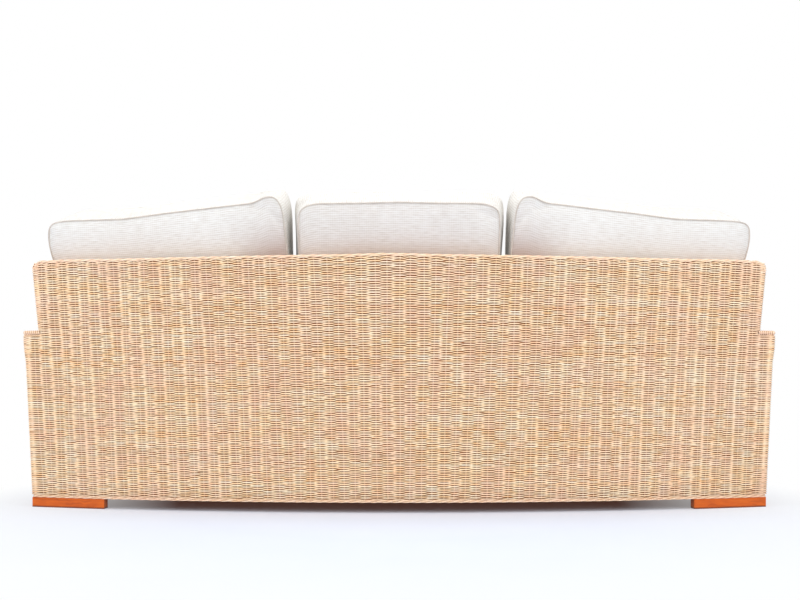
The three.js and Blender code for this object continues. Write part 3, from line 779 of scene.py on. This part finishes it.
def all_weaves():
    # The last colour of each cane is the colour of its painted shade
    cane = rattan("rattan_weave", (251, 202, 148), (255, 225, 183), (255, 241, 214), (255, 214, 184),
                  (0.26, 0.092, 0.018, 1))
    light_cane = rattan("rattan_border", (243, 204, 162), (250, 219, 185), (252, 228, 203), (252, 215, 189),
                        (0.40, 0.20, 0.08, 1))
    flat_cane = rattan("woven_deck", (196, 150, 102), (218, 178, 130), (234, 200, 156), (222, 176, 134),
                       (0.24, 0.14, 0.08, 1))
    on_deck, under_deck = DECK + 0.001, DECK - 0.002
    weave("rear", "_low", WEAVE_BOTTOM, SEAM_LOW, cane, 11)
    weave("rear", "_middle", SEAM_LOW, SEAM_HIGH, cane, 12)
    weave("rear", "_high", SEAM_HIGH, ARM_HEIGHT, cane, 13)
    settle(weave("rear", "_top", ARM_HEIGHT, BACK_WEAVE_TOP, cane, 14))
    weave("inner_back", "_low", on_deck, ARM_HEIGHT, cane, 15, 3, 3)
    settle(weave("inner_back", "_top", ARM_HEIGHT, BACK_WEAVE_TOP, cane, 16, 3, 3))
    weave("front_apron", "", WEAVE_BOTTOM, under_deck, cane, 17)
    for number, (side, sign) in enumerate(SIDES):
        seed = 20 + 5 * number
        weave(side + "_back_end", "", ARM_HEIGHT, BACK_WEAVE_TOP, cane, seed)
        weave(side + "_arm_outer", "", WEAVE_BOTTOM, ARM_WEAVE_TOP, cane, seed + 1)
        weave(side + "_arm_inner", "", on_deck, ARM_WEAVE_TOP, cane, seed + 2, 3)
        weave(side + "_arm_front", "", WEAVE_BOTTOM, ARM_WEAVE_TOP, cane, seed + 3)
        arm_top(side, sign, light_cane)
        bottom_border(side + "_bottom_border", [side + "_arm_outer"], light_cane, 31 + number)
    bottom_border("rear_bottom_border", ["rear"], light_cane, 33)
    bottom_border("front_bottom_border", ["right_arm_front", "front_apron", "left_arm_front"], light_cane, 34)
    settle(top_border(light_cane))
    deck(flat_cane)


# Feet and poles

def stained_wood():
    n = material_nodes("stained_wood")
    grain_at = n.scaled(n.places(), 9.0, 9.0, 150.0)
    warp = n.noise(n.places(), 14.0, 2.0)
    warped = n.vector(warp, warp, n.math("MULTIPLY", warp, 6.0))
    grain = n.noise(n.add("VectorMath", {0: grain_at, 1: warped}, operation="ADD"), 1.0, 5.0, 0.6)
    blotch = n.noise(n.places(), 22.0, 3.0)
    mixed = n.total((grain, 0.7), (blotch, 0.3))
    colour = n.ramp(mixed, (0.30, (166, 68, 6)), (0.5, (202, 90, 9)), (0.72, (218, 106, 17)))
    # Painted shade: the foot's lowest few millimetres are darker, standing in for its contact shadow
    height = n.split(n.places())[2]
    colour = n.mix(n.stretch(height, 0.0012, 0.0060), linear(96, 44, 18), colour)
    rough = n.stretch(grain, 0.3, 0.7, 0.32, 0.48)
    return n.surface(colour, rough, n.bump(grain, 0.12, 0.0006), 0.30)


def bare_pole():
    n = material_nodes("rattan_pole")
    grain = n.noise(n.scaled(n.places(), 60.0, 60.0, 60.0), 1.0, 4.0)
    blotch = n.noise(n.places(), 9.0, 3.0)
    mixed = n.total((grain, 0.5), (blotch, 0.5))
    colour = n.ramp(mixed, (0.3, (150, 106, 62)), (0.7, (196, 152, 100)))
    return n.surface(colour, n.stretch(grain, 0.3, 0.7, 0.5, 0.7), n.bump(grain, 0.2, 0.0008))


def foot(name, material):
    made = placed(name + "_wood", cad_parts[name].data.copy())
    bevel = made.modifiers.new("edges", "BEVEL")
    bevel.width, bevel.segments = 0.0042, 3
    bevel.limit_method, bevel.angle_limit = "ANGLE", math.radians(35)
    made.data.materials.clear()
    made.data.materials.append(material)
    fill(made.data.polygons, "use_smooth", np.zeros(len(made.data.polygons)), bool)
    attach(made, "frame")
    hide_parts(name)


def all_feet_and_poles():
    wood, pole = stained_wood(), bare_pole()
    for side, _ in SIDES:
        for end in ("rear", "front"):
            foot(f"{side}_{end}_foot", wood)
    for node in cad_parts.values():
        if not node.hide_render and "cushion" not in node.name:
            node.data.materials.clear()
            node.data.materials.append(pole)


# Cushions

class Block:
    """The surface of a block divided into cells, with its points as shares from -1 to 1 along a, b and c."""

    def __init__(self, cells, sizes):
        on = np.ones([n + 1 for n in cells], bool)
        on[1:-1, 1:-1, 1:-1] = False
        index = np.zeros(on.shape, int)
        index[on] = np.arange(on.sum())
        self.shares = 2 * np.argwhere(on) / np.array(cells) - 1
        half = np.array(sizes) / 2
        sheets = []
        for axis, first, second in ((2, 0, 1), (0, 1, 2), (1, 2, 0)):
            for end in (0, -1):
                sheet = np.moveaxis(index, (first, second, axis), (0, 1, 2))[:, :, end]
                corners = sheet[:-1, :-1], sheet[1:, :-1], sheet[1:, 1:], sheet[:-1, 1:]
                quads = np.stack(corners, -1).reshape(-1, 4)
                quads = quads[:, ::-1] if end == 0 else quads
                # Each panel has its own strip of the map, and the narrow ones run up it
                wide, long = (second, first) if axis == 0 else (first, second)
                low = 0.01 - 0.39 * end if axis == 2 else 0.80 + 0.10 * (axis == 1) - 0.05 * end
                width = 0.38 if axis == 2 else 0.04
                p, q = self.shares[quads][..., wide], self.shares[quads][..., long]
                bake = np.stack([low + width * (p + 1) / 2, 0.01 + 0.98 * (q + 1) / 2], -1)
                cloth = np.stack([p * half[wide], q * half[long]], -1)
                sheets.append((quads, bake.reshape(-1, 2), cloth.reshape(-1, 2)))
        self.quads, self.bake, self.cloth = (np.concatenate(x) for x in zip(*sheets))
        self.seams = [np.concatenate([index[:-1, 0, end], index[-1, :-1, end], index[:0:-1, -1, end],
                                      index[0, :0:-1, end]]) for end in (0, -1)]


def swelling(a, b):
    return (1 - a ** 4) * (1 - b ** 4)


def drawn_in(lengthwise, across, draw, pull):
    inward = draw * (1 - lengthwise ** 2) + pull * np.abs(lengthwise) ** 12
    return np.sign(across) * np.abs(across) ** 6 * inward


def wobble(points, rng, size, count=7):
    """A slow unevenness, as of stuffed cloth."""
    moved = np.zeros_like(points)
    for _ in range(count):
        direction, way = rng.normal(size=3), rng.normal(size=3)
        wave = FULL_TURN / rng.uniform(0.11, 0.34)
        moved += np.outer(np.sin(points @ unit(direction) * wave + rng.uniform(0, 6.3)), unit(way))
    return moved * size / math.sqrt(count)


def seat_form(from_x, to_x):
    front, bottom, gap = FRONT_Y + 0.008, DECK + 0.0003, 0.003
    draw, pull = 0.006, 0.012

    def form(a, b, c):
        share = (a + 1) / 2
        z = bottom + SEAT_THICK * (c + 1) / 2
        rear = wall_y(from_x, z) * (1 - share) + wall_y(to_x, z) * share - gap
        x = from_x + (to_x - from_x) * share - drawn_in(b, a, draw, pull)
        y = front + (rear - front) * (b + 1) / 2 - drawn_in(a, b, draw, pull)
        sat = np.minimum(1, 2 * (b + 1) / 1.3 - 1)
        return np.stack([x, y, z + SEAT_CROWN * swelling(a, sat) * (c + 1) / 2], -1)
    return form


def back_form(start_x, end_x, low_outer, inner_front, outer_front, profile, pulls, lean=0.0):
    """A back cushion that leans on the back. profile is its upper edge above the woven back.

    low_outer is where its outer end is at the height of the arm, inner_front and outer_front are where its
    ends are at the front, and lean is how far the inner end leans towards the next cushion.
    """
    clear = ROLL_PROUD + 0.003
    step = unit(np.array([end_x - start_x, wall_y(end_x, BACK_HEIGHT) - wall_y(start_x, BACK_HEIGHT)]))
    back = np.array([-step[1], step[0]])
    bottom = DECK + SEAT_THICK + 0.0006
    start = np.array([start_x, wall_y(start_x, BACK_HEIGHT)])
    length = (end_x - start_x) / step[0]
    inner_shift = inner_front - start_x + BACK_THICK * back[0]
    outer_shift = 0.0 if outer_front is None else outer_front - end_x + BACK_THICK * back[0]
    shares, rises = zip(*profile)

    def form(a, b, c):
        share, forward = (a + 1) / 2, (c + 1) / 2
        edge = np.interp(share, shares, rises)
        top = BACK_HEIGHT + edge + forward * np.minimum(BACK_RISE, BACK_TALLEST - edge)
        z = bottom + (top - bottom) * (b + 1) / 2
        spread = smooth_step(z, ARM_HEIGHT, ARM_HEIGHT + 0.285)
        outer_cut = (end_x - (low_outer + (end_x - low_outer) * spread)) * share
        shift = forward * (inner_shift * (1 - share) + outer_shift * share)
        low = 1 - smooth_step(z, BACK_HEIGHT - 0.02, BACK_HEIGHT + 0.10)
        shift = shift - lean * (1 - share) * (1 - forward) * low
        pull = np.where(a < 0, *pulls)
        corner = np.where(b > 0, pull * np.abs(b) ** 9, 0.010 * np.abs(b) ** 12)
        s = share * length - outer_cut + shift
        s = s - drawn_in(b, a, 0.005, 0.0) - np.sign(a) * np.abs(a) ** 6 * corner
        crown = forward * BACK_CROWN - (1 - forward) * 0.004 * np.maximum(0, b)
        depth = BACK_THICK * forward + crown * swelling(a, b)
        x = start[0] + step[0] * s - back[0] * depth
        y = start[1] + step[1] * s - back[1] * depth - clear + RECLINE * (z - BACK_HEIGHT)
        return np.stack([x, y, z], -1)
    return form


def smooth_profile(points, count=60):
    """A given upper edge with its corners eased."""
    xs = np.linspace(0, 1, count)
    ys = np.interp(xs, *zip(*points))
    for _ in range(2):
        ys = np.concatenate([ys[:1], (ys[:-2] + 2 * ys[1:-1] + ys[2:]) / 4, ys[-1:]])
    return list(zip(xs, ys))


def swell_by_cloth(made, seams, caps, frames=20):
    """Blows the cover up with cloth simulation between its seams, which stay. No point moves past its cap."""
    rest = np.array([v.co for v in made.data.vertices])
    held = made.vertex_groups.new(name="seams")
    held.add(np.concatenate(seams).tolist(), 1.0, "REPLACE")
    cloth = made.modifiers.new("cloth", "CLOTH")
    for key, value in {"vertex_group_mass": "seams", "quality": 5, "use_pressure": True,
                       "uniform_pressure_force": 4.0, "shrink_min": -0.02}.items():
        setattr(cloth.settings, key, value)
    cloth.settings.effector_weights.gravity = 0.0
    cloth.point_cache.frame_end = frames
    scene = bpy.context.scene
    for step in range(1, frames + 1):
        scene.frame_set(step)
    swollen = made.evaluated_get(bpy.context.evaluated_depsgraph_get()).data
    moved = np.array([v.co for v in swollen.vertices]) - rest
    made.modifiers.remove(cloth)
    scene.frame_set(1)
    far = np.linalg.norm(moved, axis=1)
    kept = np.where(far > 1e-9, caps * np.tanh(far / np.maximum(caps, 1e-6)) / np.maximum(far, 1e-9), 0)
    return rest + moved * kept[:, None]


def eased(loop, times):
    for _ in range(times):
        loop = (np.roll(loop, 1, 0) + 2 * loop + np.roll(loop, -1, 0)) / 4
    return loop


def doubled(loop):
    """The loop with a point more halfway between each two."""
    return np.stack([loop, (loop + np.roll(loop, -1, 0)) / 2], 1).reshape(-1, 3)


def piping(name, cover, seam, material, body):
    """A cord sewn into one seam of a cushion, as a closed tube."""
    sewn = [cover.data.vertices[i] for i in seam]
    points = eased(doubled(eased(np.array([v.co for v in sewn]), 2)), 3)
    normals = doubled(np.array([v.normal for v in sewn]))
    tangents = unit(np.roll(points, -1, 0) - np.roll(points, 1, 0))
    outs = unit(normals - tangents * (normals * tangents).sum(1)[:, None])
    open_ended = points + outs * PIPING_PROUD, outs, np.cross(tangents, outs)
    closed = [np.concatenate([x, x[:1]]) for x in open_ended]
    places = lengths(closed[0])
    parts = Parts()
    parts.add(ring(*closed, PIPING_RADIUS, 10)[None], (places / places[-1])[:, None], np.linspace(0, 1, 11),
              0.5, 1.0, places[:, None])
    made = parts.make(name, material)
    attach(made, body)


def rear_shade(points, c):
    """How much painted shade the rear of a back cushion gets: most at the woven back's edge, beside the gaps
    and over the centre cushion.
    """
    x, z = np.abs(points[:, 0]), points[:, 2]
    low = 1 - smooth_step(z, BACK_HEIGHT - 0.01, BACK_HEIGHT + 0.14)
    near = 1 - smooth_step(x, 0.33, 0.54)
    side = 0.08 * low ** 2 + near * (0.06 + 0.33 * low)
    centre = 0.11 + 0.18 * low ** 2 - 0.05 * smooth_step(x, 0.12, 0.28)
    return np.where(x < 0.30, centre, side) * smooth_step(-c, 0.7, 1.0)


# The seat cushions get no painted shade
def no_painted_shade(points, c):
    return np.zeros(len(points))


def cushion(place, cells, sizes, form, seed, kind, caps_at, shade, seams, fill_share, materials,
            mirrored=None):
    """A boxed cushion: its form, swollen by cloth simulation, with piping in both of its seams."""
    rng = np.random.default_rng(seed)
    name, body = f"{place}_{kind}_cushion", f"{place}_{kind}"
    block = Block(cells, sizes)
    quads, bake, cloth_map = block.quads, block.bake, block.cloth
    a, b, c = block.shares.T
    if mirrored is None:
        points = form(a, b, c)
        points = points + wobble(points, rng, 0.0016) * np.where(c < 0, 0.6, 1.0)[:, None]
    else:
        points = mirrored * (-1, 1, 1)
        points = points + wobble(points, rng, 0.0012)
        quads = quads[:, ::-1]
        bake, cloth_map = (x.reshape(-1, 4, 2)[:, ::-1] for x in (bake, cloth_map))
    made = mesh_object(name + "_cover", materials[0], points, quads, bake, {"shade": shade(points, c)})
    fill(made.data.uv_layers.new(name="cloth").uv, "vector", cloth_map)
    if mirrored is None:
        points = swell_by_cloth(made, block.seams, caps_at(a, b, c))
        fill(made.data.vertices, "co", points)
        made.data.update()
    rims = [set(seam) for seam in block.seams]
    sewn = [any(set(edge.vertices) <= rim for rim in rims) for edge in made.data.edges]
    fill(made.data.attributes.new("crease_edge", "FLOAT", "EDGE").data, "value", CREASE * np.array(sewn))
    for at, seam, material in zip(seams, block.seams, materials[1:]):
        piping(f"{name}_{at}_piping", made, seam, material, body)
    smooth = made.modifiers.new("smooth", "SUBSURF")
    smooth.levels = smooth.render_levels = 1
    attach(made, body)
    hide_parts(name)
    return points


def side_cushions(cells, sizes, form, seed, **how):
    """The left cushion, and its mirror image on the right with an unevenness of its own."""
    points = cushion("left", cells, sizes, form, seed, **how)
    cushion("right", cells, sizes, form, seed + 1, mirrored=points, **how)


def linen(name, light, middle, dark):
    """Slub linen: thick uneven weft ribs over a fine warp."""
    n = material_nodes(name)
    u, v = n.split(n.add("UVMap", uv_map="cloth"))[:2]
    slub = n.noise(n.plane(u, 34.0, v, 300.0), 1.0, 3.0, 0.6)
    drift = n.noise(n.places(), 9.0, 2.0)
    ribs = n.waves(v, 0.0062, (drift, 0.8))
    posts = n.waves(u, 0.0066, (drift, 1.5))
    weft, warp = n.waves(v, 0.0034), n.waves(u, 0.0024)
    patch = n.noise(n.places(), 3.5, 3.0)
    tint = n.total((slub, 0.62), (ribs, 0.075), (posts, 0.03), (patch, 0.18))
    colour = n.ramp(tint, (0.25, dark), (0.40, middle), (0.55, light))
    # Painted shade: the shade attribute darkens the rears of the back cushions towards a warm brown
    colour = n.mix(n.attribute("shade"), colour, (0.20, 0.03, 0.0, 1.0))
    height = n.total((slub, 1.2), (n.math("MULTIPLY", weft, warp), 0.35), (weft, 0.3))
    rough = n.stretch(slub, 0.3, 0.7, 0.86, 0.98)
    return n.surface(colour, rough, n.bump(height, 0.55, 0.0009), 0.2, 0.2)


def bias_cord(name, low, high):
    n = material_nodes(name)
    turn = n.noise(n.vector(n.math("MULTIPLY", n.attribute("run"), 420.0), 0.0, 0.0), 1.0, 2.0)
    patch = n.noise(n.places(), 30.0, 2.0)
    colour = n.ramp(n.total((turn, 0.5), (patch, 0.5)), (0.35, low), (0.65, high))
    return n.surface(colour, n.stretch(turn, 0.3, 0.7, 0.85, 0.95), n.bump(turn, 0.4, 0.0008), 0.2, 0.2)


def seat_caps(a, b, c):
    top = 0.014 * smooth_step(c, 0.9, 1.0)
    return np.where(c > 0.999, top, np.where(c < -0.999, 0.0002, 0.004))


def back_caps(a, b, c):
    rear = 0.0015 + 0.007 * smooth_step(b, 0.15, 0.6)
    box = np.where(b > 0.999, 0.009, np.where(b < -0.999, 0.0005, 0.004))
    return np.where(c > 0.999, 0.026, np.where(c < -0.999, rear, box))


def all_cushions():
    fabric = linen("linen_fabric", (237, 235, 230), (229, 225, 218), (215, 208, 199))
    # The piping's darker colour is painted shade of the crease along each seam, and the front seam's paler
    # copy is a painted highlight
    cord = bias_cord("linen_piping", (186, 174, 162), (212, 202, 191))
    lit_cord = bias_cord("linen_piping_lit", (226, 222, 216), (240, 237, 232))
    seat = dict(kind="seat", caps_at=seat_caps, shade=no_painted_shade, seams=("lower", "upper"), fill_share=0.75,
                materials=(fabric, cord, cord))
    back = dict(kind="back", caps_at=back_caps, shade=rear_shade, seams=("rear", "front"), fill_share=0.7,
                materials=(fabric, cord, lit_cord))
    seat_reach, back_reach, front_reach, gap = 0.32075, 0.295, 0.319, 0.003
    rear_gap, front_gap, over_arm, inside_arm = 0.036, 0.0065, 0.051, 0.018

    cushion("centre", (56, 72, 14), (0.64, 0.78, 0.14), seat_form(-seat_reach, seat_reach), 71, **seat)
    side_cushions((66, 72, 14), (0.69, 0.78, 0.14), seat_form(seat_reach + gap, ARM_INNER - gap), 72, **seat)
    centre_half = [(0, 0.127), (0.035, 0.1395), (0.092, 0.1445), (0.3, 0.1455)]
    centre_top = smooth_profile(centre_half + [(0.5, 0.149)] + [(1 - x, y) for x, y in centre_half[::-1]])
    centre_back = back_form(-back_reach, back_reach, back_reach, -front_reach, front_reach, centre_top,
                            (0.007, 0.007))
    cushion("centre", (60, 50, 18), (0.6, 0.5, 0.17), centre_back, 74, **back)
    side_top = smooth_profile([(0, 0.160), (0.025, 0.1645), (0.05, 0.1662), (0.07, 0.1646), (0.086, 0.1590),
                               (0.106, 0.1498), (0.14, 0.1478), (0.22, 0.145), (0.46, 0.131), (0.67, 0.118),
                               (0.91, 0.1185), (0.97, 0.116), (1, 0.108)], 90)
    side_back = back_form(back_reach + rear_gap, ARM_INNER + over_arm, ARM_INNER - inside_arm,
                          front_reach + front_gap, None, side_top, (0.024, 0.011), 0.0075)
    side_cushions((76, 50, 18), (0.75, 0.5, 0.17), side_back, 75, **back)


# The studio

def camera():
    data = bpy.data.cameras.new("camera")
    data.lens, data.sensor_width = 44.01, 36.0
    data.shift_x, data.shift_y = 0.001, 0.12
    made = placed("camera", data)
    made.location = (0.0, 3.301, 0.347)
    made.rotation_euler = (math.radians(90), 0.0, math.radians(180))
    bpy.context.scene.camera = made


def lamp(name, place, aim, width, depth, power):
    data = bpy.data.lights.new(name, "AREA")
    data.shape, data.size, data.size_y, data.energy = "RECTANGLE", width, depth, power
    made = placed(name, data)
    made.location = place
    made.rotation_euler = (Vector(aim) - Vector(place)).to_track_quat("-Z", "Y").to_euler()
    made.visible_camera = False


def seen_directly(n):
    paths = n.add("LightPath").outputs
    seen = n.math("MAXIMUM", paths["Is Camera Ray"], paths["Is Glossy Ray"])
    return n.math("MAXIMUM", seen, paths["Is Transmission Ray"])


def room():
    """Soft light from all round, and plain white behind the sofa."""
    world = bpy.data.worlds.new("studio")
    bpy.context.scene.world = world
    n = Nodes(world, "OutputWorld")
    light = n.add("Background", {"Color": (0.93, 0.96, 1.0, 1.0), "Strength": 0.66})
    backdrop = n.add("Background", {"Color": WHITE, "Strength": 1.0})
    n.shown(n.add("MixShader", {0: seen_directly(n), 1: light, 2: backdrop}))


def floor(size=40.0):
    """A pale floor that fades into white away from the sofa. Under the sofa it glows a little warm, a painted
    bounce light from the cane.
    """
    n = material_nodes("floor")
    places = n.places()
    grain = n.stretch(n.noise(places, 1.7, 3.0), 0.3, 0.7)
    colour = n.mix(grain, linear(223, 230, 244), linear(226, 233, 246))
    near = n.add("BsdfDiffuse", {"Color": colour})
    white = n.add("Emission", {"Color": WHITE, "Strength": 1.0})
    away = n.length(n.scaled(places, 1.32, 1.0, 1.0))
    far = n.math("MULTIPLY", n.stretch(away, 0.95, 2.0), seen_directly(n))
    under = n.length(n.scaled(places, 0.85, 2.0, 1.0))
    # Painted light: a warm glow under the sofa stands in for light bounced off the cane
    lift = n.math("MULTIPLY", n.stretch(under, 1.1, 0.75, 0.0, 0.055), seen_directly(n))
    painted_bounce = n.add("Emission", {"Color": (1.0, 0.42, 0.28, 1.0), "Strength": lift})
    with_painted_bounce = n.add("AddShader", {0: near, 1: painted_bounce})
    material = n.shown(n.add("MixShader", {0: far, 1: with_painted_bounce, 2: white}))
    square_map = np.array([[0, 0], [1, 0], [1, 1], [0, 1]])
    corners = stood((2 * square_map - 1) * size, 0.0)
    mesh_object("floor", material, corners, np.array([[0, 1, 2, 3]]), square_map)


def studio():
    room()
    floor()
    lamp("overhead", (0.0, 0.9, 3.1), (0.0, 0.1, 0.4), 4.2, 2.6, 57.0)
    lamp("camera_side", (0.0, 4.6, 1.7), (0.0, 0.3, 0.5), 4.0, 2.2, 35.5)
    for name, side in SIDES:
        lamp(name + "_side", (side * 3.3, 3.2, 1.2), (side * 0.7, 0.3, 0.5), 2.0, 2.0, 35.0)
    lamp("front_side", (0.0, -4.2, 2.4), (0.0, -0.2, 0.4), 3.6, 2.0, 44.0)


camera()
all_weaves()
all_feet_and_poles()
all_cushions()
studio()

scene = bpy.context.scene
scene.view_settings.view_transform = "Standard"
